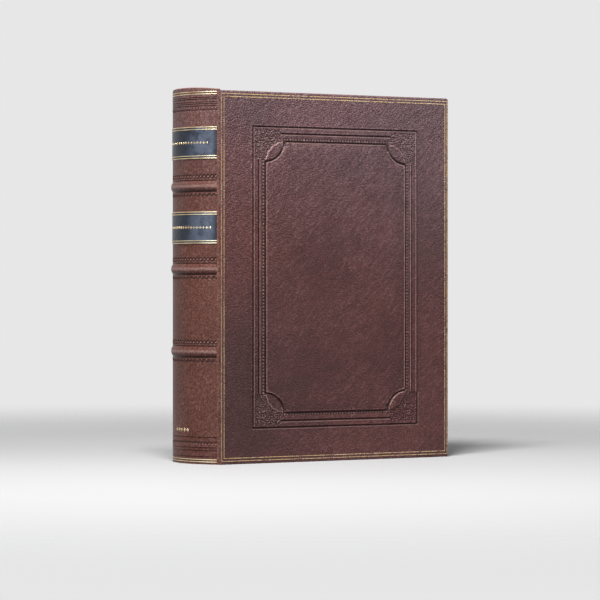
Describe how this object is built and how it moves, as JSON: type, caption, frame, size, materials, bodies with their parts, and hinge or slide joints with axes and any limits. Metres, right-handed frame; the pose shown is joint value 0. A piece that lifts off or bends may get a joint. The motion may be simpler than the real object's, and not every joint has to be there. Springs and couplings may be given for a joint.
{
  "type": "leather bound book",
  "caption": "Closed book in brown leather with a rounded spine, raised bands, dark labels, gilt lines and a tooled panel. Both covers open on their joints.",
  "frame": {"origin": "middle of the closed book's footprint, on the surface that it stands on", "axes": "+X from the spine to the fore-edge, +Z from the tail to the head, the front cover faces -Y"},
  "size_m": [0.1819, 0.0576, 0.23],
  "materials": {
    "cover_leather": "polished goatskin grain",
    "spine_leather": "polished goatskin grain, handled",
    "label_leather": "smooth calf, satin",
    "gilt": "worn gold leaf",
    "page_paper": "aged rag paper, matt",
    "endpaper": "laid paper, matt",
    "lining_paper": "rough paper, matt",
    "millboard": "pressed board, matt",
    "cord": "twisted hemp",
    "end_band_silk": "sewn silk"
  },
  "bodies": {
    "book_block": {"page_block": "page_paper", "front_flyleaf": "endpaper", "back_flyleaf": "endpaper", "spine_lining": "lining_paper", "upper_sewing_cord": "cord", "middle_sewing_cord": "cord", "lower_sewing_cord": "cord", "head_band": "end_band_silk", "tail_band": "end_band_silk", "spine_leather": "spine_leather", "upper_title_label": "label_leather", "lower_title_label": "label_leather", "head_gilt_fillet": "gilt", "tail_gilt_fillet": "gilt", "upper_label_gilt_fillet": "gilt", "lower_label_gilt_fillet": "gilt"},
    "front_cover": {"front_board": "millboard", "front_cover_leather": "cover_leather", "front_pastedown": "endpaper", "front_gilt_border": "gilt"},
    "back_cover": {"back_board": "millboard", "back_cover_leather": "cover_leather", "back_pastedown": "endpaper", "back_gilt_border": "gilt"}
  },
  "joints": [
    {"name": "front_joint", "type": "hinge", "parent": "book_block", "child": "front_cover", "pos_m": [-0.07904, -0.0287, 0.1146], "axis": [0, 0, -1], "range_deg": [0, 180]},
    {"name": "back_joint", "type": "hinge", "parent": "book_block", "child": "back_cover", "pos_m": [-0.07904, 0.0287, 0.1146], "axis": [0, 0, 1], "range_deg": [0, 180]}
  ]
}
